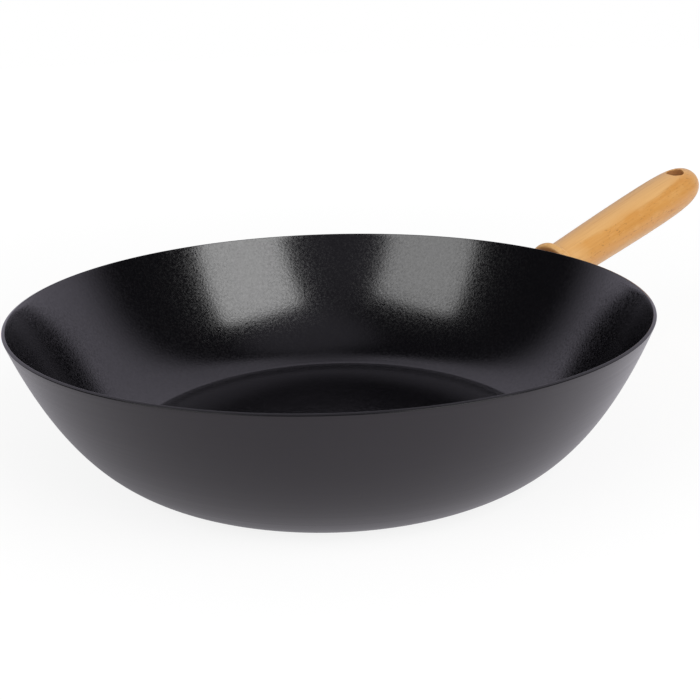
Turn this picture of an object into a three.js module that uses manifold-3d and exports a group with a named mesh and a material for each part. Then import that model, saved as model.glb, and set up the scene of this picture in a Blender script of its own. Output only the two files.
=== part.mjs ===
// A flat-based wok with a turned beech handle, in millimetres with +Z up.
// The origin is the middle of the base's underside, and the handle points along +X.
import * as THREE from 'three';
import { mergeVertices } from 'three/addons/utils/BufferGeometryUtils.js';
import Module from 'manifold-3d';

// Bowl: one sheet with a flat base, a crisp bend and a wall that steepens to the rim
const RIM_RADIUS = 175; // outside of the wall at the rim
const RIM_HEIGHT = 82; // outside of the wall at the rim, above the base
const BASE_RADIUS = 118; // bend between the flat base and the wall, underneath
const SHEET = 1.8; // sheet with its coatings
const BASE_SLOPE = 22.9; // degrees from level where the wall leaves the base
const RIM_SLOPE = 71.3; // degrees from level at the rim
const BASE_PULL = 26.4; // how far the wall holds the slope of its foot
const RIM_PULL = 43.4; // how far the wall holds the slope of its rim
const RIM_CROWN = 0.5; // rise of the rounded edge of the sheet
const BOWL_SIDES = 96;
const WALL_STEPS = 10;
const CROWN_STEPS = 4;

// Line of the handle: the middle of the grip's front face and the slope from there
const SEAT_OUT = 14.9; // outside the rim
const SEAT_DROP = 16.8; // below the rim
const HANDLE_TILT = 14.9; // degrees above level

// Grip: turned from the front face to the tip
const GRIP_LENGTH = 166.5;
const FACE_RADIUS = 15.2; // flat part of the front face
const LIP_RADIUS = 18.5; // crest of the rounded lip
const LIP_CREST = 3.5; // behind the front face
const LIP_LENGTH = 9.7; // where the lip has run out into the neck
const NECK_RADIUS = 14.2;
const BELLY_RADIUS = 16.4; // thickest part of the grip
const BELLY_FROM_TIP = 50.5;
const BELLY_RUN = 33; // how far ahead of the belly the grip is nearly as thick
const TAPER_RUN = 40; // how far the belly's line runs on before it turns in
const TIP_FULLNESS = 14.3; // radius that keeps the domed tip blunt
const GRIP_SIDES = 36;
const GRIP_STEPS = 8; // along each curve of the grip

// Hanging hole, square to the grip and a little off upright, with eased edges
const HOLE_RADIUS = 6;
const HOLE_FROM_TIP = 20.5;
const HOLE_EASE = 2;
const HOLE_ROLL = 8; // degrees that the hole's top leans towards -Y
const HOLE_SIDES = 28;
const EASE_STEPS = 3;

// Bolt, lock washer and threaded insert
const BOLT_RADIUS = 4;
const BOLT_FLATS = 13; // across the flats of the head
const BOLT_HEAD = 5.3;
const BOLT_REACH = 25; // how far the shank goes into the grip
const WASHER_RADIUS = 6.2;
const WASHER_THICKNESS = 2;
const WASHER_SLIT = 1.6;
const INSERT_RADIUS = 6;
const INSERT_LENGTH = 22;
const FLANGE_RADIUS = 8.5;
const FLANGE_THICKNESS = 1.6;
const BORE_SPARE = 5; // depth of the grip's bore past the bolt and the insert
const FASTENER_SIDES = 32;

// Bracket: a saddle that follows the wall, an open channel and a round seat
const BRACKET_SHEET = 2;
const SADDLE_WIDTH = 66;
const SADDLE_HEIGHT = 40;
const SADDLE_DROP = 11; // top of the saddle below the rim
const SADDLE_CORNER = 12;
const CHANNEL_BEND = 2; // inside of the bends between the roof and the side webs
const CHANNEL_FOOT = 9; // lower edge of the side webs at the seat, below the handle's line
const GUSSET_DEPTH = 13; // how much deeper the side webs are at the saddle
const GUSSET_RUN = 18; // length of their slope, back from the seat
const SEAT_RADIUS = 13.8;
const SEAT_PLATE = 3;
const CORNER_STEPS = 5;

// Spot welds: shallow dimples in two columns beside the channel
const WELD_RADIUS = 3;
const WELD_DEPTH = 0.6;
const WELD_FROM_SIDE = 10; // from the side edge of the saddle
const WELD_FROM_END = 9; // of the outer dimples, from the top and lower edges
const WELDS_PER_COLUMN = 3;
const WELD_SIDES = 12;
const WELD_RINGS = 6;

const GAP = 0.3; // between pieces that touch
const PAST = 5; // how far a cutter runs past what it cuts

const radians = THREE.MathUtils.degToRad;
const vector = (x, y) => new THREE.Vector2(x, y);

const wasm = await Module();
wasm.setup();

// A closed solid for cuts and joins, without the slivers that a revolve leaves on its axis
function solid(geometry) {
  const bare = geometry.clone();
  bare.deleteAttribute('normal');
  bare.deleteAttribute('uv');
  const merged = mergeVertices(bare);
  const corners = merged.index.array;
  const kept = [];
  for (let i = 0; i < corners.length; i += 3) {
    const [a, b, c] = corners.slice(i, i + 3);
    if (a !== b && b !== c && c !== a) {
      kept.push(a, b, c);
    }
  }
  const vertProperties = new Float32Array(merged.attributes.position.array);
  const triVerts = new Uint32Array(kept);
  return new wasm.Manifold(new wasm.Mesh({ numProp: 3, vertProperties, triVerts }));
}

function geometryOf(body) {
  const mesh = body.getMesh();
  const geometry = new THREE.BufferGeometry();
  geometry.setAttribute('position', new THREE.BufferAttribute(mesh.vertProperties, 3));
  geometry.setIndex(new THREE.BufferAttribute(mesh.triVerts, 1));
  geometry.computeVertexNormals();
  return geometry;
}

function piece(name, body, material) {
  const mesh = new THREE.Mesh(geometryOf(body), material);
  mesh.name = name;
  return mesh;
}

// Revolves of (radius, height) points: about +Z for the bowl, and about +X for the handle
const spun = (points) => new THREE.LatheGeometry(points, BOWL_SIDES).rotateX(Math.PI / 2);
const turned = (points, sides) => new THREE.LatheGeometry(points, sides).rotateZ(-Math.PI / 2);

// The wall's outside as a curve from the bend to the rim, in (radius, height)
const slopeAt = (degrees) => vector(Math.cos(radians(degrees)), Math.sin(radians(degrees)));
const bend = vector(BASE_RADIUS, 0);
const rimEdge = vector(RIM_RADIUS, RIM_HEIGHT);
const wall = new THREE.CubicBezierCurve(
  bend,
  bend.clone().addScaledVector(slopeAt(BASE_SLOPE), BASE_PULL),
  rimEdge.clone().addScaledVector(slopeAt(RIM_SLOPE), -RIM_PULL),
  rimEdge,
);

const outwards = (tangent) => vector(tangent.y, -tangent.x);

// Points up the wall, moved square to it by a distance that is positive outwards
function wallLine(distance) {
  const line = [];
  for (let i = 0; i <= WALL_STEPS; i += 1) {
    const tangent = wall.getTangent(i / WALL_STEPS);
    line.push(wall.getPoint(i / WALL_STEPS).addScaledVector(outwards(tangent), distance));
  }
  return line;
}

function makeBowl() {
  const inside = wallLine(-SHEET);
  inside[0] = vector(BASE_RADIUS - SHEET * Math.tan(radians(BASE_SLOPE) / 2), SHEET);
  const up = slopeAt(RIM_SLOPE);
  const sideways = outwards(up);
  const crown = [];
  for (let i = 1; i < CROWN_STEPS; i += 1) {
    const turn = (Math.PI * i) / CROWN_STEPS;
    const inwards = ((1 - Math.cos(turn)) * SHEET) / 2;
    const edge = rimEdge.clone().addScaledVector(sideways, -inwards);
    crown.push(edge.addScaledVector(up, RIM_CROWN * Math.sin(turn)));
  }
  const profile = [vector(0, 0), ...wallLine(0), ...crown, ...inside.reverse(), vector(0, SHEET)];
  return solid(spun(profile));
}

// The handle's own frame: +X along the grip from its front face, +Z up and square to it
const handle = new THREE.Group();
handle.position.set(RIM_RADIUS + SEAT_OUT, 0, RIM_HEIGHT - SEAT_DROP);
handle.rotation.y = -radians(HANDLE_TILT);
handle.updateMatrix();

// Places along the handle's line, from the bowl outwards
const seatFace = -GAP;
const seatBack = seatFace - SEAT_PLATE;
const washerFace = seatBack - GAP;
const headFace = washerFace - WASHER_THICKNESS - GAP;
const boreEnd = Math.max(BOLT_REACH, INSERT_LENGTH) + BORE_SPARE;
const bellyAt = GRIP_LENGTH - BELLY_FROM_TIP;

// Room for the bolt: its shank in each hole, and its head between the webs of the channel
const threadRadius = BOLT_RADIUS + GAP;
const headRadius = BOLT_FLATS / Math.sqrt(3);
const channelInside = BOLT_FLATS + 2 * GAP;
const channelRoof = headRadius + GAP;
const channelDepth = CHANNEL_FOOT + GUSSET_DEPTH;

// Outline of the grip in (radius, distance from the front face), from the face to the tip
function gripOutline() {
  const path = new THREE.Path();
  path.moveTo(FACE_RADIUS, 0);
  path.quadraticCurveTo(LIP_RADIUS, 0, LIP_RADIUS, LIP_CREST);
  const lipMiddle = (LIP_CREST + LIP_LENGTH) / 2;
  path.bezierCurveTo(LIP_RADIUS, lipMiddle, NECK_RADIUS, lipMiddle, NECK_RADIUS, LIP_LENGTH);
  path.quadraticCurveTo(BELLY_RADIUS, bellyAt - BELLY_RUN, BELLY_RADIUS, bellyAt);
  path.bezierCurveTo(BELLY_RADIUS, bellyAt + TAPER_RUN, TIP_FULLNESS, GRIP_LENGTH, 0, GRIP_LENGTH);
  return path.getPoints(GRIP_STEPS);
}

function radiusAt(outline, distance) {
  const next = outline.findIndex((point) => point.y > distance && point.y > LIP_LENGTH);
  const [before, after] = [outline[next - 1], outline[next]];
  return THREE.MathUtils.mapLinear(distance, before.y, after.y, before.x, after.x);
}

// The hanging hole's cutter: a bobbin that widens over the eased edges
function holeCutter(gripRadius) {
  const half = [];
  for (let i = 0; i <= EASE_STEPS; i += 1) {
    const turn = (Math.PI / 2) * (i / EASE_STEPS);
    const widening = HOLE_EASE * (1 - Math.cos(turn));
    half.push(vector(HOLE_RADIUS + widening, gripRadius - HOLE_EASE * (1 - Math.sin(turn))));
  }
  half.push(vector(HOLE_RADIUS + HOLE_EASE, gripRadius + PAST));
  half.push(vector(0, gripRadius + PAST));
  const mirrored = half.map((point) => vector(point.x, -point.y)).reverse();
  return new THREE.LatheGeometry([...mirrored, ...half], HOLE_SIDES).rotateX(Math.PI / 2);
}

function makeGrip() {
  const outline = gripOutline();
  const flangeWell = FLANGE_RADIUS + GAP;
  const flangeSeat = FLANGE_THICKNESS + GAP;
  const bore = INSERT_RADIUS + GAP;
  const recess = [
    vector(0, boreEnd),
    vector(bore, boreEnd),
    vector(bore, flangeSeat),
    vector(flangeWell, flangeSeat),
    vector(flangeWell, 0),
  ];
  const holeAt = GRIP_LENGTH - HOLE_FROM_TIP;
  const cutter = holeCutter(radiusAt(outline, holeAt));
  cutter.rotateX(radians(HOLE_ROLL)).translate(holeAt, 0, 0);
  return solid(turned([...recess, ...outline], GRIP_SIDES)).subtract(solid(cutter));
}

function makeInsert() {
  const section = [
    vector(threadRadius, 0),
    vector(FLANGE_RADIUS, 0),
    vector(FLANGE_RADIUS, FLANGE_THICKNESS),
    vector(INSERT_RADIUS, FLANGE_THICKNESS),
    vector(INSERT_RADIUS, INSERT_LENGTH),
    vector(threadRadius, INSERT_LENGTH),
    vector(threadRadius, 0),
  ];
  return solid(turned(section, FASTENER_SIDES));
}

function makeBolt() {
  const shank = [
    vector(0, headFace - BOLT_HEAD / 2),
    vector(BOLT_RADIUS, headFace - BOLT_HEAD / 2),
    vector(BOLT_RADIUS, BOLT_REACH),
    vector(0, BOLT_REACH),
  ];
  const head = new THREE.CylinderGeometry(headRadius, headRadius, BOLT_HEAD, 6);
  head.rotateZ(-Math.PI / 2).translate(headFace - BOLT_HEAD / 2, 0, 0);
  return solid(turned(shank, FASTENER_SIDES)).add(solid(head));
}

function makeWasher() {
  const back = washerFace - WASHER_THICKNESS;
  const section = [
    vector(threadRadius, back),
    vector(WASHER_RADIUS, back),
    vector(WASHER_RADIUS, washerFace),
    vector(threadRadius, washerFace),
    vector(threadRadius, back),
  ];
  const slit = new THREE.BoxGeometry(WASHER_THICKNESS + PAST, WASHER_SLIT, WASHER_RADIUS + PAST);
  slit.translate(washerFace - WASHER_THICKNESS / 2, 0, -(WASHER_RADIUS + PAST) / 2);
  return solid(turned(section, FASTENER_SIDES)).subtract(solid(slit));
}

// A box outline with round corners, about its own middle
function roundedOutline(width, height, corner) {
  const right = width / 2 - corner;
  const top = height / 2 - corner;
  const shape = new THREE.Shape();
  shape.absarc(right, top, corner, 0, Math.PI / 2);
  shape.absarc(-right, top, corner, Math.PI / 2, Math.PI);
  shape.absarc(-right, -top, corner, Math.PI, 1.5 * Math.PI);
  shape.absarc(right, -top, corner, 1.5 * Math.PI, 2 * Math.PI);
  return shape;
}

// A block along +X, from an end outline in (side, height)
function lengthways(outline, from, to) {
  const reach = { depth: to - from, bevelEnabled: false, curveSegments: CORNER_STEPS };
  const block = new THREE.ExtrudeGeometry(outline, reach);
  return block.rotateZ(Math.PI / 2).rotateY(Math.PI / 2).translate(from, 0, 0);
}

// The part of a shell just outside the wall that lies inside the saddle's outline
function makeSaddle() {
  const under = wallLine(GAP);
  const over = wallLine(GAP + BRACKET_SHEET);
  const shell = solid(spun([...over, ...under.reverse(), over[0]]));
  const outline = roundedOutline(SADDLE_WIDTH, SADDLE_HEIGHT, SADDLE_CORNER);
  const block = lengthways(outline, 0, RIM_RADIUS + PAST);
  block.translate(0, 0, RIM_HEIGHT - SADDLE_DROP - SADDLE_HEIGHT / 2);
  return shell.intersect(solid(block));
}

// Flat balls that dent the saddle's outside at each spot weld
function weldDents() {
  const topRow = RIM_HEIGHT - SADDLE_DROP - WELD_FROM_END;
  const spacing = (SADDLE_HEIGHT - 2 * WELD_FROM_END) / (WELDS_PER_COLUMN - 1);
  const side = SADDLE_WIDTH / 2 - WELD_FROM_SIDE;
  const dents = [];
  for (const y of [-side, side]) {
    for (let row = 0; row < WELDS_PER_COLUMN; row += 1) {
      dents.push(weldDent(y, topRow - row * spacing));
    }
  }
  return dents;
}

function weldDent(y, height) {
  const line = wallLine(GAP + BRACKET_SHEET);
  const next = line.findIndex((point) => point.y > height);
  const [lower, upper] = [line[next - 1], line[next]];
  const radius = THREE.MathUtils.mapLinear(height, lower.y, upper.y, lower.x, upper.x);
  const slope = Math.atan2(upper.y - lower.y, upper.x - lower.x);
  const ball = new THREE.SphereGeometry(WELD_RADIUS, WELD_SIDES, WELD_RINGS);
  ball.scale(1, WELD_DEPTH / WELD_RADIUS, 1);
  ball.rotateZ(slope - Math.PI).rotateX(Math.PI / 2);
  return ball.translate(radius, 0, height).rotateZ(Math.asin(y / radius));
}

// A block across the handle's frame, from a side outline in (distance along the handle, height)
function across(outline, width) {
  const block = new THREE.ExtrudeGeometry(outline, { depth: width, bevelEnabled: false });
  return solid(block.translate(0, 0, -width / 2).rotateX(Math.PI / 2).applyMatrix4(handle.matrix));
}

// A bar along the handle's frame with the channel's section, grown by a distance on its sides and top
function channelBar(growth) {
  const side = channelInside / 2 + growth;
  const roof = channelRoof + growth;
  const corner = CHANNEL_BEND + growth;
  const section = new THREE.Shape();
  section.moveTo(side, -channelDepth - PAST);
  section.lineTo(side, roof - corner);
  section.absarc(side - corner, roof - corner, corner, 0, Math.PI / 2);
  section.absarc(corner - side, roof - corner, corner, Math.PI / 2, Math.PI);
  section.lineTo(-side, -channelDepth - PAST);
  return solid(lengthways(section, -RIM_RADIUS - PAST, seatFace).applyMatrix4(handle.matrix));
}

// A folded channel, open below, that is deep at the saddle and shallow at the seat
function makeChannel() {
  const above = channelRoof + BRACKET_SHEET + PAST;
  const seatMiddle = (seatBack + seatFace) / 2;
  const webs = new THREE.Shape();
  webs.moveTo(seatMiddle, above);
  webs.lineTo(-RIM_RADIUS, above);
  webs.lineTo(-RIM_RADIUS, -channelDepth);
  webs.lineTo(seatBack - GUSSET_RUN, -channelDepth);
  webs.lineTo(seatMiddle, -CHANNEL_FOOT);
  const block = across(webs, channelInside + 2 * (BRACKET_SHEET + PAST));
  return block.intersect(channelBar(BRACKET_SHEET)).subtract(channelBar(0));
}

// A round bar along the handle's line
function bar(radius, from, to) {
  const section = [vector(0, from), vector(radius, from), vector(radius, to), vector(0, to)];
  return solid(turned(section, FASTENER_SIDES).applyMatrix4(handle.matrix));
}

function makeBracket() {
  const middleOfSaddle = wallLine(GAP + BRACKET_SHEET / 2);
  const below = -RIM_RADIUS;
  const bowlSide = [vector(0, below), vector(BASE_RADIUS, below), ...middleOfSaddle, vector(0, RIM_HEIGHT)];
  const arm = makeChannel().subtract(solid(spun(bowlSide)));
  const seat = bar(SEAT_RADIUS, seatBack, seatFace);
  const boltHole = bar(threadRadius, seatBack - PAST, seatFace + PAST);
  let bracket = arm.add(makeSaddle()).add(seat).subtract(boltHole);
  for (const dent of weldDents()) {
    bracket = bracket.subtract(solid(dent));
  }
  return bracket;
}

const coating = new THREE.MeshStandardMaterial({ color: 0x1f1e20, roughness: 0.5, metalness: 0.3 });
const blackSteel = new THREE.MeshStandardMaterial({ color: 0x2a292b, roughness: 0.6, metalness: 0.4 });
const beech = new THREE.MeshStandardMaterial({ color: 0xd9a566, roughness: 0.55, metalness: 0 });
const zincSteel = new THREE.MeshStandardMaterial({ color: 0xb4b6b8, roughness: 0.35, metalness: 1 });

handle.add(
  piece('handle_grip', makeGrip(), beech),
  piece('threaded_insert', makeInsert(), zincSteel),
  piece('handle_bolt', makeBolt(), zincSteel),
  piece('lock_washer', makeWasher(), zincSteel),
);

const wok = new THREE.Group();
wok.add(piece('bowl', makeBowl(), coating), piece('handle_bracket', makeBracket(), blackSteel), handle);

export default wok;
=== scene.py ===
"""Looks of a flat-based wok with a turned beech grip, in a plain white studio.

The frame is in metres with +Z up. The origin is the middle of the base's underside, and the grip points
along +X.
"""
import math

import bpy
from mathutils import Matrix, Vector


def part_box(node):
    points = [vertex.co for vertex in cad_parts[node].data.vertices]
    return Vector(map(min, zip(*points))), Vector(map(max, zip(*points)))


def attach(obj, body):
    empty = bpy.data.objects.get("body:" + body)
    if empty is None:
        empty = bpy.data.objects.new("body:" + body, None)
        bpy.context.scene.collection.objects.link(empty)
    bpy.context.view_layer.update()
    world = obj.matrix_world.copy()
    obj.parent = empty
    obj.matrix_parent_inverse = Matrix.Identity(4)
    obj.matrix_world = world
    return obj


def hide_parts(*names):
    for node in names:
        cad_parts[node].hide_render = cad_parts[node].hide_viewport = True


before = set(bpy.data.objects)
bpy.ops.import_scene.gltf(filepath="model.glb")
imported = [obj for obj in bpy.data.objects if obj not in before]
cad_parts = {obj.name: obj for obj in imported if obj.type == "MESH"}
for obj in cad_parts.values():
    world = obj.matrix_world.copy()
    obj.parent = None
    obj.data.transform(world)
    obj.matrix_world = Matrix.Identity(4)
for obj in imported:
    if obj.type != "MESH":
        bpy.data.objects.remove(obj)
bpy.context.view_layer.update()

MM = 0.001
WHITE = (1, 1, 1, 1)

# Bowl: one coated sheet with a flat base, a soft bend and a wall that steepens to the rim
BOX_MARGIN = 0.02 * MM  # so that the round edge stays in its solid's box
RIM_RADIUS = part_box("bowl")[1].x - BOX_MARGIN
RIM_HEIGHT = 82 * MM
BASE_RADIUS = 118 * MM
SHEET = 1.8 * MM
BASE_SLOPE = math.radians(22.9)
RIM_SLOPE = math.radians(71.3)
BASE_PULL = 26.4 * MM
RIM_PULL = 43.4 * MM
RIM_ROUND = 0.35 * MM
BEND_RADIUS = 14 * MM
BEND_SETBACK = BEND_RADIUS * math.tan(BASE_SLOPE / 2)
BEND_SHARE = BEND_SETBACK / (3 * BASE_PULL)  # of the wall's curve, which the bend takes up
BOWL_SIDES = 256
WALL_STEPS = 48
BEND_STEPS = 10
ROUND_STEPS = 5

# Line of the handle: the middle of the grip's front face and the slope from there
SEAT_OUT = 14.9 * MM
SEAT_DROP = 16.8 * MM
HANDLE_TILT = math.radians(14.9)

# Grip: turned from the front face to the tip, a hair smaller than its solid so that the smooth shape
# stays in it
GRIP_LENGTH = 166.4 * MM
FACE_RADIUS = 15.2 * MM
LIP_RADIUS = 18.5 * MM
LIP_CREST = 3.5 * MM
LIP_LENGTH = 9.7 * MM
NECK_RADIUS = 14.2 * MM
BELLY_RADIUS = 16.38 * MM
BELLY_AT = 116 * MM
BELLY_RUN = 33 * MM
TAPER_RUN = 40 * MM
TIP_FULLNESS = 14.3 * MM
GRIP_SIDES = 128
GRIP_STEPS = 36

# Bore for the threaded insert, and the well for its flange
BORE_RADIUS = 6.3 * MM
BORE_DEPTH = 30 * MM
WELL_RADIUS = 8.8 * MM
WELL_DEPTH = 1.9 * MM

# Hanging hole with eased edges
HOLE_RADIUS = 6 * MM
HOLE_AT = 146 * MM
HOLE_EASE = 2 * MM
HOLE_ROLL = math.radians(8)
HOLE_SIDES = 96
EASE_STEPS = 10
PAST = 5 * MM  # how far a cutting body reaches past what it cuts

# Bolt, with its head behind the bracket's seat and the lock washer
BOLT_RADIUS = 4 * MM
BOLT_FLATS = 13 * MM
BOLT_HEAD = 5.3 * MM
BOLT_REACH = 25 * MM
HEAD_FACE = -5.9 * MM
HEAD_TOP_RADIUS = 6.2 * MM
HEAD_CHAMFER = math.radians(30)
HEAD_SIDES = 6
FASTENER_SIDES = 64

# Bracket: grid that its sheet is drawn on again, and how often that grid is eased
BRACKET_GRID = 0.45 * MM
EASING_STEPS = 10

# Angles from which an edge stays sharp
GRIP_SHARP = math.radians(40)
FITTING_SHARP = math.radians(35)
BOLT_SHARP = math.radians(25)

# Material slots of the bowl and the grip
OUTSIDE, EDGE, INSIDE = range(3)
LACQUERED, BORED = range(2)

# Noise in the finishes: where most of its values lie, and how often rings of it change across a metre
NOISE_RANGE = (0.3, 0.7)
RING_DRIFT = 6

# Colours of coating and zinc, as a darker and a lighter tone
INSIDE_TONES = ((0.0014, 0.0013, 0.0019), (0.0024, 0.0022, 0.0031))
OUTSIDE_TONES = ((0.0036, 0.0031, 0.0036), (0.0052, 0.0045, 0.0052))
OUTSIDE_SHEEN = (1.0, 0.95, 1.0, 1.0)
EDGE_TONES = ((0.003, 0.0028, 0.0032), (0.007, 0.0066, 0.0074))
ZINC_TONES = ((0.5, 0.51, 0.52), (0.66, 0.67, 0.68))

# Colours of wood, with a darker and a lighter tone where streaks vary them
# The pale tones are partly a painted sheen, where they surround the golden band on the top and underside
PALE_TONES = ((0.74, 0.392, 0.128), (0.795, 0.462, 0.174))
GOLDEN_TONES = ((0.65, 0.285, 0.055), (0.71, 0.345, 0.083))
BORED_TONES = ((0.38, 0.165, 0.05), (0.5, 0.23, 0.08))
LINE_COLOUR = (0.52, 0.225, 0.055)
FIBRE_COLOUR = (0.76, 0.46, 0.2)
FLECK_COLOUR = (0.38, 0.155, 0.035)
# Darker colour of the front face: partly its end grain, partly painted shade between the grip and the bowl
END_GRAIN_AND_SHADE_COLOUR = (0.36, 0.135, 0.04)

# Grain: how often each pattern repeats in a metre along the grip and across it
STREAK_GRAIN = (16, 420, 420)
LINE_GRAIN = (11, 760, 760)
FIBRE_GRAIN = (120, 2600, 2600)
FLECK_GRAIN = (360, 850, 850)
PATCH_GRAIN = (30, 150, 150)
WARP_GRAIN = (12, 130, 130)
MOTTLE_GRAIN = (90, 260, 260)
BORED_GRAIN = (60, 700, 700)

# Marks in the wood: values where they start and are full, and their shares of the colour there
LINE_MARKS = (0.58, 0.72, 0.0, 0.3)
FIBRE_MARKS = (0.35, 0.75, 0.0, 0.15)
FLECK_MARKS = (0.61, 0.72, 0.0, 0.6)
FLECK_PATCHES = (0.42, 0.6)
# Front face towards the bowl: darker partly for its end grain and partly as painted shade
END_GRAIN_AND_SHADE = (-0.75, -1.0, 0.0, 0.85)

# Golden band along one side of the grip, the wood's own streak; the paler wood round it, on the top and
# underside, is partly a painted sheen. Its turn round the grip's axis, how near to that it starts and is
# full, how much its edge wanders and its depth varies, and the stretches along the grip where it comes in and
# fades out
BAND_TURN = math.radians(169)
BAND_NEARNESS = (0.64, 0.9)
BAND_WANDER = (0.2, 0.8, -0.25, 0.25)
BAND_MOTTLE = (0.32, 0.52, 0.7, 1.05)
BAND_START = (14 * MM, 28 * MM)
BAND_END = (148 * MM, 162 * MM)

# Camera, as the picture's frame of 700 pixels sees it
PICTURE_PIXELS = 700
FOCAL_PIXELS = 987.4
SENSOR = 36
CAMERA_AZIMUTH = math.radians(-38.98)
CAMERA_ELEVATION = math.radians(18.31)
CAMERA_ROLL = math.radians(-1.43)
CAMERA_DISTANCE = 552.3 * MM
CAMERA_AIM = Vector((2.29, -13.65, 54.29)) * MM
CAMERA_CLIP = (0.01, 100)

# Softboxes, with their places in degrees to the right of the camera and above the floor
SOFTBOX_DISTANCE = 1.4
LAMP_SPREAD = 4.0  # watts that give an area lamp of one square metre a radiance of one
SOFTBOXES = {
    "softbox_right": {"azimuth": 43, "elevation": 32.5, "width": 0.89, "height": 0.92, "radiance": 3.5},
    "softbox_left": {"azimuth": -48, "elevation": 29.5, "width": 0.92, "height": 0.83, "radiance": 2.42},
}

# Light from all round, and what mirrors show instead: a backdrop behind the bowl that dims towards the top
# in two stages, and two faint patches, overhead and in front, each with its place, reach and strength
AMBIENT = (0.38, 0.38, 0.38, 1)
STUDIO_TINT = (0.9, 0.85, 1, 1)
BACKDROP_AZIMUTH = 173.5
BACKDROP_NEARNESS = (0.25, 0.67)
BACKDROP_GLOW = (0.035, 0.74)
BACKDROP_DIMMING = ((0.7, 0.95, 1.0, 0.8), (0.95, 0.995, 1.0, 0.36))
PATCHES = (
    {"azimuth": 22, "elevation": 67, "nearness": (0.88, 0.985), "strength": 0.22},
    {"azimuth": -5, "elevation": 22, "nearness": (0.84, 0.99), "strength": 0.15},
)

# Floor: its glow to the camera near the bowl and far off, the grey that bounces light back to the bowl,
# and the grey that is added to the glow and takes the shadow
FLOOR_SIZE = 12.0
FLOOR_DROP = 0.2 * MM
FLOOR_REACH = (0.4, 1.6)
FLOOR_GLOW = (0.84, 1.0)
FLOOR_LIT = (0.8, 0.8, 0.8, 1)
FLOOR_SHADOWED = (0.2, 0.2, 0.2, 1)

# Glow of the floor in mirrors: it rises to the right, is shaded close to the bowl and more so on the left,
# and is stronger behind the bowl than in front. Four numbers are two places and the glow at each
BOUNCE_TINT = (0.95, 0.92, 1, 1)
BOUNCE_ACROSS = (-0.4, 0.4, 0.6, 1.0)
BOUNCE_SHADE = (-0.12, 0.0, 0.56, 0.78)
BOUNCE_SHADE_REACH = (0.13, 0.24)
BOUNCE_FORWARDS = (0.0, 0.08, 1.15, 1.0)

SMALL = 1e-7  # a smaller radius is a point on the axis
X_UP = Matrix.Rotation(math.pi / 2, 4, "Y")  # turns +Z to +X
HANDLE = (
    Matrix.Translation((RIM_RADIUS + SEAT_OUT, 0, RIM_HEIGHT - SEAT_DROP))
    @ Matrix.Rotation(-HANDLE_TILT, 4, "Y")
)


def towards(azimuth, elevation):
    """Unit vector to a place in the studio, in degrees to the right of the camera and above the floor."""
    swing = CAMERA_AZIMUTH + math.radians(azimuth)
    rise = math.radians(elevation)
    return Vector((math.sin(swing) * math.cos(rise), -math.cos(swing) * math.cos(rise), math.sin(rise)))


def looking_back(azimuth, elevation):
    """Turn of a camera or lamp that looks at the bowl from an azimuth and an elevation."""
    return Matrix.Rotation(azimuth, 4, "Z") @ Matrix.Rotation(math.pi / 2 - elevation, 4, "X")


def direction(angle):
    return Vector((math.cos(angle), math.sin(angle)))


def outwards(tangent):
    return Vector((tangent.y, -tangent.x))


def cubic(points, share):
    """Point and unit tangent of a cubic curve at a share of its run."""
    a, b, c, d = points
    rest = 1 - share
    point = a * rest**3 + b * (3 * rest**2 * share) + c * (3 * rest * share**2) + d * share**3
    tangent = (b - a) * rest**2 + (c - b) * (2 * rest * share) + (d - c) * share**2
    return point, tangent.normalized()


def quadratic(a, b, c, share):
    rest = 1 - share
    return a * rest**2 + b * (2 * rest * share) + c * share**2


RIM_EDGE = Vector((RIM_RADIUS, RIM_HEIGHT))
FOOT = Vector((BASE_RADIUS, 0))
WALL = (
    FOOT,
    FOOT + direction(BASE_SLOPE) * BASE_PULL,
    RIM_EDGE - direction(RIM_SLOPE) * RIM_PULL,
    RIM_EDGE,
)


def bend_line(distance):
    """The bend between the base and the wall in (radius, height), moved outwards by a distance."""
    centre = Vector((BASE_RADIUS - BEND_SETBACK, BEND_RADIUS))
    turns = [BASE_SLOPE * i / BEND_STEPS for i in range(BEND_STEPS + 1)]
    return [centre + outwards(direction(turn)) * (BEND_RADIUS + distance) for turn in turns]


def wall_line(distance):
    """The wall above the bend in (radius, height), moved square to it and outwards by a distance."""
    line = []
    for i in range(1, WALL_STEPS + 1):
        point, tangent = cubic(WALL, BEND_SHARE + (1 - BEND_SHARE) * i / WALL_STEPS)
        line.append(point + outwards(tangent) * distance)
    return line


def edge_line():
    """The sheet's trimmed edge, square to the wall with rounded corners, from the outside to the inside."""
    line = []
    up = direction(RIM_SLOPE)
    outer = [math.pi / 2 * i / ROUND_STEPS for i in range(1, ROUND_STEPS + 1)]
    inner = [math.pi - turn for turn in reversed(outer)]
    for turns, middle in ((outer, RIM_ROUND), (inner, SHEET - RIM_ROUND)):
        for turn in turns:
            inwards = middle - RIM_ROUND * math.cos(turn)
            line.append(RIM_EDGE - outwards(up) * inwards + up * (RIM_ROUND * math.sin(turn)))
    return line


def add_object(name, data):
    made = bpy.data.objects.new(name, data)
    bpy.context.scene.collection.objects.link(made)
    return made


def revolve(name, outline, sides, zones=None):
    """A body of (radius, height) points turned about +Z, with a material slot for each stretch of them."""
    vertices = []
    rows = []
    for radius, height in outline:
        count = 1 if radius < SMALL else sides
        rows.append([len(vertices) + i for i in range(count)])
        for i in range(count):
            turn = math.tau * i / sides
            vertices.append((radius * math.cos(turn), radius * math.sin(turn), height))
    faces = []
    face_zones = []
    for stretch, (low, high) in enumerate(zip(rows, rows[1:])):
        for i in range(sides):
            j = (i + 1) % sides
            corners = (low[i % len(low)], low[j % len(low)], high[j % len(high)], high[i % len(high)])
            faces.append(list(dict.fromkeys(corners)))
            face_zones.append(zones[stretch] if zones else 0)
    mesh = bpy.data.meshes.new(name)
    mesh.from_pydata(vertices, [], faces)
    mesh.polygons.foreach_set("material_index", face_zones)
    mesh.shade_smooth()
    return mesh


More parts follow.
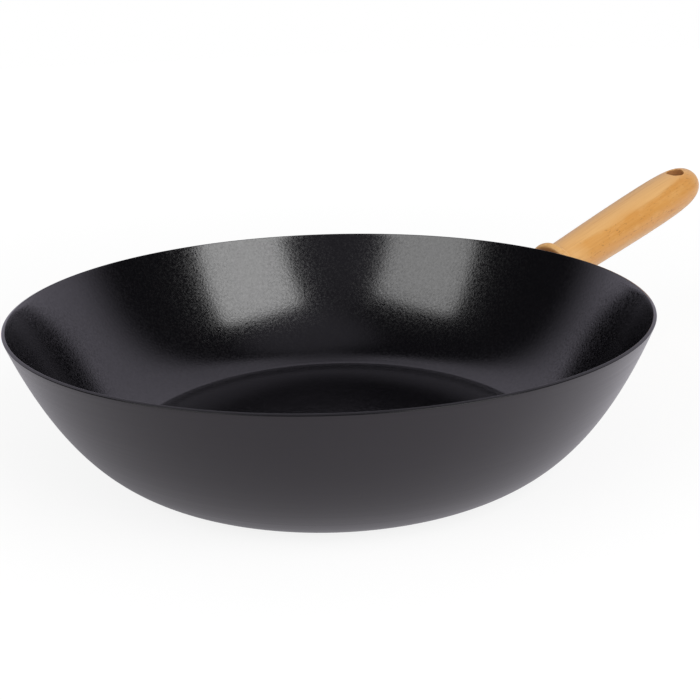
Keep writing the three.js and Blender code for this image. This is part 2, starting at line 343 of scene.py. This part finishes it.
def settle(body):
    """Applies a body's modifiers to its mesh."""
    graph = bpy.context.evaluated_depsgraph_get()
    mesh = bpy.data.meshes.new_from_object(body.evaluated_get(graph))
    body.modifiers.clear()
    body.data = mesh


def combine(body, other, operation):
    """Cuts a body with another one, or joins the two, and takes the other one out of the scene."""
    change = body.modifiers.new(operation, "BOOLEAN")
    change.object = other
    change.operation = operation
    change.solver = "EXACT"
    settle(body)
    bpy.data.objects.remove(other)


class Nodes:
    """A node tree with a short way to add and feed its nodes."""

    def __init__(self, tree):
        self.tree = tree

    def feed(self, node, inputs):
        for name, value in inputs.items():
            if isinstance(value, bpy.types.NodeSocket):
                self.tree.links.new(value, node.inputs[name])
            else:
                node.inputs[name].default_value = value

    def add(self, kind, inputs=None, **settings):
        node = self.tree.nodes.new("ShaderNode" + kind)
        for name, value in settings.items():
            setattr(node, name, value)
        self.feed(node, inputs or {})
        return node

    def place(self, stretch=(1, 1, 1), offset=(0, 0, 0), source=None):
        """Object coordinates, or others, stretched so that a texture repeats that often in a metre."""
        source = source or self.add("TexCoord").outputs["Object"]
        return self.add("Mapping", {"Vector": source, "Scale": stretch, "Location": offset}).outputs["Vector"]

    def along_handle(self):
        """Coordinates in the handle's own frame, with X along the grip."""
        source = self.add("TexCoord").outputs["Object"]
        inputs = {"Vector": source, "Location": HANDLE.translation, "Rotation": HANDLE.to_euler()}
        return self.add("Mapping", inputs, vector_type="TEXTURE").outputs["Vector"]

    def noise(self, vector, scale=1.0, detail=2.0, roughness=0.5):
        inputs = {"Vector": vector, "Scale": scale, "Detail": detail, "Roughness": roughness}
        return self.add("TexNoise", inputs).outputs["Fac"]

    def spread(self, value, low, high, to_low=0.0, to_high=1.0, curve="LINEAR"):
        """A value's stretch from low to high, spread over another stretch and held at its ends."""
        inputs = {"Value": value, "From Min": low, "From Max": high, "To Min": to_low, "To Max": to_high}
        return self.add("MapRange", inputs, interpolation_type=curve).outputs["Result"]

    def vector(self, operation, first, second=(0, 0, 0)):
        return self.add("VectorMath", {0: first, 1: second}, operation=operation).outputs["Vector"]

    def dot(self, vector, way):
        return self.add("VectorMath", {0: vector, 1: way}, operation="DOT_PRODUCT").outputs["Value"]

    def length(self, vector):
        return self.add("VectorMath", {0: vector}, operation="LENGTH").outputs["Value"]

    def math(self, operation, first, second):
        return self.add("Math", {0: first, 1: second}, operation=operation).outputs[0]

    def product(self, first, *others):
        for other in others:
            first = self.math("MULTIPLY", first, other)
        return first

    def blend(self, share, first, second):
        """A colour that goes from the first to the second as share goes from 0 to 1."""
        node = self.add("Mix", data_type="RGBA")
        colours = [socket for socket in node.inputs if socket.type == "RGBA"]
        for socket, value in zip(colours, (first, second)):
            if isinstance(value, bpy.types.NodeSocket):
                self.tree.links.new(value, socket)
            else:
                socket.default_value = (*value, 1)
        self.tree.links.new(share, node.inputs[0])
        return next(socket for socket in node.outputs if socket.type == "RGBA")

    def bump(self, height, distance, strength=1.0, under=None):
        inputs = {"Height": height, "Distance": distance, "Strength": strength}
        if under is not None:
            inputs["Normal"] = under
        return self.add("Bump", inputs).outputs["Normal"]

    def choose(self, share, first, second):
        """A shader that goes from the first to the second as share goes from 0 to 1."""
        return self.add("MixShader", {0: share, 1: first.outputs[0], 2: second.outputs[0]})

    def rays(self):
        """Whether a ray is the camera's, also through something clear, and whether it is a mirror's."""
        path = self.add("LightPath").outputs
        seen = self.math("MAXIMUM", path["Is Camera Ray"], path["Is Transmission Ray"])
        return seen, path["Is Glossy Ray"]


class Finish(Nodes):
    """A node material."""

    def __init__(self, name):
        self.material = bpy.data.materials.new(name)
        self.material.use_nodes = True
        super().__init__(self.material.node_tree)
        self.surface = self.tree.nodes["Principled BSDF"]


def spun_lines(finish, per_metre):
    """Noise that runs in fine rings round the bowl's axis, across the base and up the wall."""
    place = finish.add("TexCoord").outputs["Object"]
    out = finish.length(finish.vector("MULTIPLY", place, (1, 1, 0)))
    run = finish.math("ADD", out, finish.add("SeparateXYZ", {"Vector": place}).outputs["Z"])
    ring = finish.add("CombineXYZ", {"Z": finish.math("MULTIPLY", run, per_metre)}).outputs["Vector"]
    drift = finish.vector("MULTIPLY", place, (RING_DRIFT, RING_DRIFT, 0))
    return finish.noise(finish.vector("ADD", drift, ring), detail=3.0)


def inside_coating():
    """Semi-gloss black coating with a fine orange peel and faint turning marks."""
    finish = Finish("inside_coating")
    peel = finish.noise(finish.place(), scale=700.0, detail=1.5)
    grain = finish.noise(finish.place(), scale=620.0, detail=1.0)
    stipple = finish.noise(finish.place(offset=(0.3, 0.7, 0.5)), scale=680.0, detail=1.0)
    cloud = finish.noise(finish.place(), scale=60.0, detail=3.0)
    lines = spun_lines(finish, per_metre=700.0)
    relief = finish.bump(lines, distance=0.02 * MM, strength=0.25)
    relief = finish.bump(peel, distance=0.04 * MM, under=relief)
    finish.feed(finish.surface, {
        "Base Color": finish.blend(cloud, *INSIDE_TONES),
        "Roughness": finish.spread(stipple, *NOISE_RANGE, 0.12, 0.24),
        "Specular IOR Level": finish.spread(grain, *NOISE_RANGE, 0.74, 0.86),
        "Normal": relief,
    })
    return finish.material


def outside_coating(name="outside_coating"):
    """Matte black coating over fine turning marks."""
    finish = Finish(name)
    grain = finish.noise(finish.place(), scale=1400.0, detail=2.0)
    cloud = finish.noise(finish.place(), scale=45.0, detail=3.0)
    lines = spun_lines(finish, per_metre=900.0)
    relief = finish.bump(lines, distance=0.02 * MM, strength=0.2)
    relief = finish.bump(grain, distance=0.03 * MM, strength=0.3, under=relief)
    finish.feed(finish.surface, {
        "Base Color": finish.blend(cloud, *OUTSIDE_TONES),
        "Roughness": finish.spread(lines, *NOISE_RANGE, 0.29, 0.35),
        "Specular Tint": OUTSIDE_SHEEN,
        "Normal": relief,
    })
    return finish.material


def rim_edge():
    """The trimmed edge, where the coating is thin and polished by use."""
    finish = Finish("rim_edge")
    wear = finish.noise(finish.place(), scale=240.0, detail=4.0)
    finish.feed(finish.surface, {
        "Base Color": finish.blend(wear, *EDGE_TONES),
        "Roughness": finish.spread(wear, *NOISE_RANGE, 0.14, 0.22),
        "Specular IOR Level": 0.3,
        "Normal": finish.bump(wear, distance=0.02 * MM, strength=0.3),
    })
    return finish.material


def golden_band_and_painted_sheen(finish, handle):
    """Share of the golden band along one side of the grip; the paler wood round it is partly a painted sheen.
    """
    warp = finish.noise(finish.place(WARP_GRAIN, source=handle), detail=4.0)
    mottle = finish.noise(finish.place(MOTTLE_GRAIN, (0.6, 0.3, 0.2), handle), detail=2.0)
    facing = finish.vector("NORMALIZE", finish.vector("MULTIPLY", handle, (0, 1, 1)))
    way = (0, *direction(BAND_TURN))
    nearness = finish.math("ADD", finish.dot(facing, way), finish.spread(warp, *BAND_WANDER))
    run = finish.add("SeparateXYZ", {"Vector": handle}).outputs["X"]
    return finish.product(
        finish.spread(nearness, *BAND_NEARNESS, curve="SMOOTHSTEP"),
        finish.spread(run, *BAND_START),
        finish.spread(run, *BAND_END, 1.0, 0.0),
        finish.spread(mottle, *BAND_MOTTLE),
    )


def beech():
    """Straight-grained beech under clear satin lacquer, golden along one side, with painted sheen in the
    paler wood.
    """
    finish = Finish("beech")
    handle = finish.along_handle()
    streak = finish.noise(finish.place(STREAK_GRAIN, source=handle), detail=4.0, roughness=0.6)
    line = finish.noise(finish.place(LINE_GRAIN, (0.3, 0.6, 0.1), handle), detail=2.0)
    fibre = finish.noise(finish.place(FIBRE_GRAIN, source=handle), detail=3.0)
    fleck = finish.noise(finish.place(FLECK_GRAIN, (0.4, 0.2, 0.7), handle), detail=1.0)
    patch = finish.noise(finish.place(PATCH_GRAIN, (0.1, 0.8, 0.5), handle), detail=1.0)
    band = golden_band_and_painted_sheen(finish, handle)
    tone = finish.spread(streak, *NOISE_RANGE)
    # Golden band against pale wood that is partly a painted sheen on the top and underside
    colour = finish.blend(band, finish.blend(tone, *PALE_TONES), finish.blend(tone, *GOLDEN_TONES))
    colour = finish.blend(finish.spread(line, *LINE_MARKS), colour, LINE_COLOUR)
    colour = finish.blend(finish.spread(fibre, *FIBRE_MARKS), colour, FIBRE_COLOUR)
    flecks = finish.product(finish.spread(fleck, *FLECK_MARKS), finish.spread(patch, *FLECK_PATCHES), band)
    colour = finish.blend(flecks, colour, FLECK_COLOUR)
    # Front face towards the bowl: darker partly for its end grain and partly as painted shade between grip
    # and bowl
    along = finish.dot(finish.add("TexCoord").outputs["Normal"], HANDLE.col[0].xyz)
    colour = finish.blend(finish.spread(along, *END_GRAIN_AND_SHADE), colour, END_GRAIN_AND_SHADE_COLOUR)
    finish.feed(finish.surface, {
        "Base Color": colour,
        "Roughness": finish.spread(streak, *NOISE_RANGE, 0.36, 0.46),
        "Normal": finish.bump(fibre, distance=0.04 * MM, strength=0.25),
    })
    return finish.material


def bored_beech():
    """The bare wall of the hanging hole, browned by the drill."""
    finish = Finish("bored_beech")
    grain = finish.noise(finish.place(BORED_GRAIN, source=finish.along_handle()), detail=3.0)
    finish.feed(finish.surface, {
        "Base Color": finish.blend(grain, *BORED_TONES),
        "Roughness": finish.spread(grain, *NOISE_RANGE, 0.55, 0.7),
        "Normal": finish.bump(grain, distance=0.05 * MM, strength=0.3),
    })
    return finish.material


def zinc_plate():
    finish = Finish("zinc_plate")
    cloud = finish.noise(finish.place(), scale=500.0, detail=3.0)
    finish.feed(finish.surface, {
        "Base Color": finish.blend(cloud, *ZINC_TONES),
        "Metallic": 1.0,
        "Roughness": finish.spread(cloud, *NOISE_RANGE, 0.28, 0.42),
        "Normal": finish.bump(cloud, distance=0.02 * MM, strength=0.2),
    })
    return finish.material


def make_bowl():
    outside = [Vector((0, 0)), *bend_line(0), *wall_line(0)]
    inside = [Vector((0, SHEET)), *bend_line(-SHEET), *wall_line(-SHEET)]
    edge = edge_line()
    outline = [*outside, *edge, *reversed(inside)]
    zones = [OUTSIDE] * (len(outside) - 1) + [EDGE] * (len(edge) + 1) + [INSIDE] * (len(inside) - 1)
    bowl = add_object("bowl_shell", revolve("bowl_shell", outline, BOWL_SIDES, zones))
    for material in (outside_coating(), rim_edge(), inside_coating()):
        bowl.data.materials.append(material)
    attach(bowl, "root")
    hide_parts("bowl")


def grip_line():
    """Outline of the grip in (radius, distance from the front face), from the face to the tip."""
    face = Vector((FACE_RADIUS, 0))
    crest = Vector((LIP_RADIUS, LIP_CREST))
    neck = Vector((NECK_RADIUS, LIP_LENGTH))
    belly = Vector((BELLY_RADIUS, BELLY_AT))
    tip = Vector((0, GRIP_LENGTH))
    lip_middle = (LIP_CREST + LIP_LENGTH) / 2
    behind_lip = (crest, Vector((LIP_RADIUS, lip_middle)), Vector((NECK_RADIUS, lip_middle)), neck)
    end = (belly, Vector((BELLY_RADIUS, BELLY_AT + TAPER_RUN)), Vector((TIP_FULLNESS, GRIP_LENGTH)), tip)
    shares = [(i + 1) / GRIP_STEPS for i in range(GRIP_STEPS)]
    line = [face]
    line += [quadratic(face, Vector((LIP_RADIUS, 0)), crest, share) for share in shares]
    line += [cubic(behind_lip, share)[0] for share in shares]
    line += [quadratic(neck, Vector((BELLY_RADIUS, BELLY_AT - BELLY_RUN)), belly, share) for share in shares]
    line += [cubic(end, share)[0] for share in shares]
    return line


def radius_at(line, distance):
    """Radius of the grip at a distance from its front face, behind the lip."""
    for before, after in zip(line, line[1:]):
        if before.y > LIP_LENGTH and before.y <= distance < after.y:
            return before.lerp(after, (distance - before.y) / (after.y - before.y)).x
    raise ValueError("the grip has no radius there")


def hole_cutter(grip_radius):
    """A bobbin that widens over the eased edges of the hanging hole."""
    half = []
    for i in range(EASE_STEPS + 1):
        turn = math.pi / 2 * i / EASE_STEPS
        widening = HOLE_EASE * (1 - math.cos(turn))
        half.append(Vector((HOLE_RADIUS + widening, grip_radius - HOLE_EASE * (1 - math.sin(turn)))))
    half.append(Vector((HOLE_RADIUS + HOLE_EASE, grip_radius + PAST)))
    half.append(Vector((0, grip_radius + PAST)))
    mirrored = [Vector((point.x, -point.y)) for point in reversed(half)]
    eased = [LACQUERED] * (len(half) - 1)
    mesh = revolve("hole_cutter", [*mirrored, *half], HOLE_SIDES, [*eased, BORED, *eased])
    mesh.transform(Matrix.Translation((HOLE_AT, 0, 0)) @ Matrix.Rotation(HOLE_ROLL, 4, "X"))
    return add_object("hole_cutter", mesh)


def make_grip():
    line = grip_line()
    recess = [
        Vector((0, BORE_DEPTH)),
        Vector((BORE_RADIUS, BORE_DEPTH)),
        Vector((BORE_RADIUS, WELL_DEPTH)),
        Vector((WELL_RADIUS, WELL_DEPTH)),
        Vector((WELL_RADIUS, 0)),
    ]
    mesh = revolve("grip_wood", [*recess, *line], GRIP_SIDES)
    mesh.transform(X_UP)
    mesh.materials.append(beech())
    mesh.materials.append(bored_beech())
    grip = add_object("grip_wood", mesh)
    combine(grip, hole_cutter(radius_at(line, HOLE_AT)), "DIFFERENCE")
    grip.data.shade_smooth()
    grip.data.set_sharp_from_angle(angle=GRIP_SHARP)
    grip.data.transform(HANDLE)
    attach(grip, "root")
    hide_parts("handle_grip")


def smooth_by_angle(limit):
    """Geometry nodes that shade a body smooth, apart from edges sharper than the limit."""
    group = bpy.data.node_groups.new("smooth_by_angle", "GeometryNodeTree")
    group.interface.new_socket("Geometry", in_out="INPUT", socket_type="NodeSocketGeometry")
    group.interface.new_socket("Geometry", in_out="OUTPUT", socket_type="NodeSocketGeometry")
    source = group.nodes.new("NodeGroupInput")
    result = group.nodes.new("NodeGroupOutput")
    angle = group.nodes.new("GeometryNodeInputMeshEdgeAngle")
    compare = group.nodes.new("FunctionNodeCompare")
    compare.data_type = "FLOAT"
    compare.operation = "LESS_THAN"
    compare.inputs[1].default_value = limit
    faces = group.nodes.new("GeometryNodeSetShadeSmooth")
    edges = group.nodes.new("GeometryNodeSetShadeSmooth")
    edges.domain = "EDGE"
    group.links.new(angle.outputs["Unsigned Angle"], compare.inputs[0])
    group.links.new(source.outputs[0], faces.inputs["Geometry"])
    group.links.new(faces.outputs["Geometry"], edges.inputs["Geometry"])
    group.links.new(compare.outputs[0], edges.inputs["Shade Smooth"])
    group.links.new(edges.outputs["Geometry"], result.inputs[0])
    return group


def dress_fittings(zinc):
    """Finishes for the small pieces that keep their own solid."""
    smoothing = smooth_by_angle(FITTING_SHARP)
    for name in ("lock_washer", "threaded_insert"):
        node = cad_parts[name]
        node.data.materials.clear()
        node.data.materials.append(zinc)
        node.modifiers.new("smoothing", "NODES").node_group = smoothing


def make_bracket():
    """The bracket's sheet with eased edges and filled inner corners, as welding and paint leave them."""
    bracket = add_object("bracket_sheet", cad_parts["handle_bracket"].data.copy())
    grid = bracket.modifiers.new("grid", "REMESH")
    grid.mode = "VOXEL"
    grid.voxel_size = BRACKET_GRID
    easing = bracket.modifiers.new("easing", "SMOOTH")
    easing.iterations = EASING_STEPS
    settle(bracket)
    bracket.data.shade_smooth()
    bracket.data.materials.clear()
    bracket.data.materials.append(outside_coating("bracket_black"))
    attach(bracket, "root")
    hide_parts("handle_bracket")


def bar_line(radius, low, high):
    """Outline of a plain bar in (radius, height)."""
    return [Vector((0, low)), Vector((radius, low)), Vector((radius, high)), Vector((0, high))]


def make_bolt(zinc):
    """Hexagon bolt whose head has the round chamfer of a turned bar."""
    back = HEAD_FACE - BOLT_HEAD
    corner = BOLT_FLATS / math.sqrt(3)
    wide = corner + PAST
    prism = bar_line(corner, back, HEAD_FACE)
    bar = [
        Vector((0, back)),
        Vector((HEAD_TOP_RADIUS, back)),
        Vector((wide, back + (wide - HEAD_TOP_RADIUS) * math.tan(HEAD_CHAMFER))),
        Vector((wide, HEAD_FACE + PAST)),
        Vector((0, HEAD_FACE + PAST)),
    ]
    shank = bar_line(BOLT_RADIUS, HEAD_FACE - BOLT_HEAD / 2, BOLT_REACH)
    bolt = add_object("bolt_steel", revolve("bolt_steel", prism, HEAD_SIDES))
    combine(bolt, add_object("head_bar", revolve("head_bar", bar, FASTENER_SIDES)), "INTERSECT")
    combine(bolt, add_object("shank", revolve("shank", shank, FASTENER_SIDES)), "UNION")
    bolt.data.transform(HANDLE @ X_UP)
    bolt.data.shade_smooth()
    bolt.data.set_sharp_from_angle(angle=BOLT_SHARP)
    bolt.data.materials.append(zinc)
    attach(bolt, "root")
    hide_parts("handle_bolt")


def make_camera():
    lens = bpy.data.cameras.new("camera")
    lens.sensor_fit = "HORIZONTAL"
    lens.sensor_width = SENSOR
    lens.lens = SENSOR * FOCAL_PIXELS / PICTURE_PIXELS
    lens.clip_start, lens.clip_end = CAMERA_CLIP
    camera = add_object("camera", lens)
    swing = looking_back(CAMERA_AZIMUTH, CAMERA_ELEVATION)
    away = Matrix.Rotation(CAMERA_ROLL, 4, "Z") @ Matrix.Translation((0, 0, CAMERA_DISTANCE))
    camera.matrix_world = Matrix.Translation(CAMERA_AIM) @ swing @ away
    bpy.context.scene.camera = camera


def make_softbox(name, azimuth, elevation, width, height, radiance):
    """An area lamp, hidden from the camera, that faces the middle of the bowl's mouth."""
    lamp = bpy.data.lights.new(name, "AREA")
    lamp.shape = "RECTANGLE"
    lamp.size = width
    lamp.size_y = height
    lamp.energy = radiance * LAMP_SPREAD * width * height
    softbox = add_object(name, lamp)
    swing = looking_back(CAMERA_AZIMUTH + math.radians(azimuth), math.radians(elevation))
    aim = Matrix.Translation((0, 0, RIM_HEIGHT))
    softbox.matrix_world = aim @ swing @ Matrix.Translation((0, 0, SOFTBOX_DISTANCE))
    softbox.visible_camera = False


def make_world():
    """White to the camera; mirrors show a pale backdrop behind the bowl and a dim studio in front of it."""
    world = bpy.data.worlds.new("studio")
    bpy.context.scene.world = world
    world.use_nodes = True
    nodes = Nodes(world.node_tree)
    nodes.tree.nodes.clear()
    way = nodes.add("TexCoord").outputs["Generated"]
    height = nodes.add("SeparateXYZ", {"Vector": way}).outputs["Z"]
    heading = nodes.vector("NORMALIZE", nodes.vector("MULTIPLY", way, (1, 1, 0)))
    behind = nodes.dot(heading, towards(BACKDROP_AZIMUTH, 0))
    glow = nodes.spread(behind, *BACKDROP_NEARNESS, *BACKDROP_GLOW, curve="SMOOTHSTEP")
    for dimming in BACKDROP_DIMMING:
        glow = nodes.math("MULTIPLY", glow, nodes.spread(height, *dimming))
    for patch in PATCHES:
        near = nodes.dot(way, towards(patch["azimuth"], patch["elevation"]))
        light = nodes.spread(near, *patch["nearness"], 0.0, patch["strength"], curve="SMOOTHSTEP")
        glow = nodes.math("ADD", glow, light)
    ambient = nodes.add("Background", {"Color": AMBIENT})
    mirrored = nodes.add("Background", {"Color": STUDIO_TINT, "Strength": glow})
    plain = nodes.add("Background", {"Color": WHITE})
    seen, glossy = nodes.rays()
    chosen = nodes.choose(seen, nodes.choose(glossy, ambient, mirrored), plain)
    nodes.add("OutputWorld", {"Surface": chosen.outputs[0]})


def floor_white():
    """Pale floor: near white by itself to the camera and in mirrors, so that only a soft shadow is left."""
    finish = Finish("floor_white")
    output = finish.tree.nodes["Material Output"]
    finish.tree.nodes.remove(finish.surface)
    place = finish.place()
    distance = finish.length(place)
    rightwards = finish.dot(place, towards(90, 0))
    forwards = finish.dot(place, towards(0, 0))
    shade = finish.spread(rightwards, *BOUNCE_SHADE)
    bounce = finish.product(
        finish.spread(rightwards, *BOUNCE_ACROSS),
        finish.spread(distance, *BOUNCE_SHADE_REACH, shade, 1.0),
        finish.spread(forwards, *BOUNCE_FORWARDS),
    )
    bounce = finish.math("MINIMUM", bounce, 1.0)
    strength = finish.spread(distance, *FLOOR_REACH, *FLOOR_GLOW)
    seen_glow = finish.add("Emission", {"Color": WHITE, "Strength": strength})
    mirrored_glow = finish.add("Emission", {"Color": BOUNCE_TINT, "Strength": bounce})
    lit = finish.add("BsdfDiffuse", {"Color": FLOOR_LIT})
    shadowed = finish.add("BsdfDiffuse", {"Color": FLOOR_SHADOWED})
    seen, glossy = finish.rays()
    glow = finish.choose(glossy, seen_glow, mirrored_glow)
    pale = finish.add("AddShader", {0: glow.outputs[0], 1: shadowed.outputs[0]})
    chosen = finish.choose(finish.math("MAXIMUM", seen, glossy), lit, pale)
    underneath = finish.add("NewGeometry").outputs["Backfacing"]
    one_sided = finish.choose(underneath, chosen, finish.add("BsdfTransparent"))
    finish.feed(output, {"Surface": one_sided.outputs[0]})
    return finish.material


def make_floor():
    half = FLOOR_SIZE / 2
    corners = [(-half, -half, 0), (half, -half, 0), (half, half, 0), (-half, half, 0)]
    mesh = bpy.data.meshes.new("floor")
    mesh.from_pydata(corners, [], [(0, 1, 2, 3)])
    floor = add_object("floor", mesh)
    floor.location.z = -FLOOR_DROP
    mesh.materials.append(floor_white())


make_bowl()
make_grip()
zinc = zinc_plate()
make_bracket()
make_bolt(zinc)
dress_fittings(zinc)
make_camera()
make_floor()
make_world()
for name, setting in SOFTBOXES.items():
    make_softbox(name, **setting)
bpy.context.scene.view_settings.view_transform = "Standard"
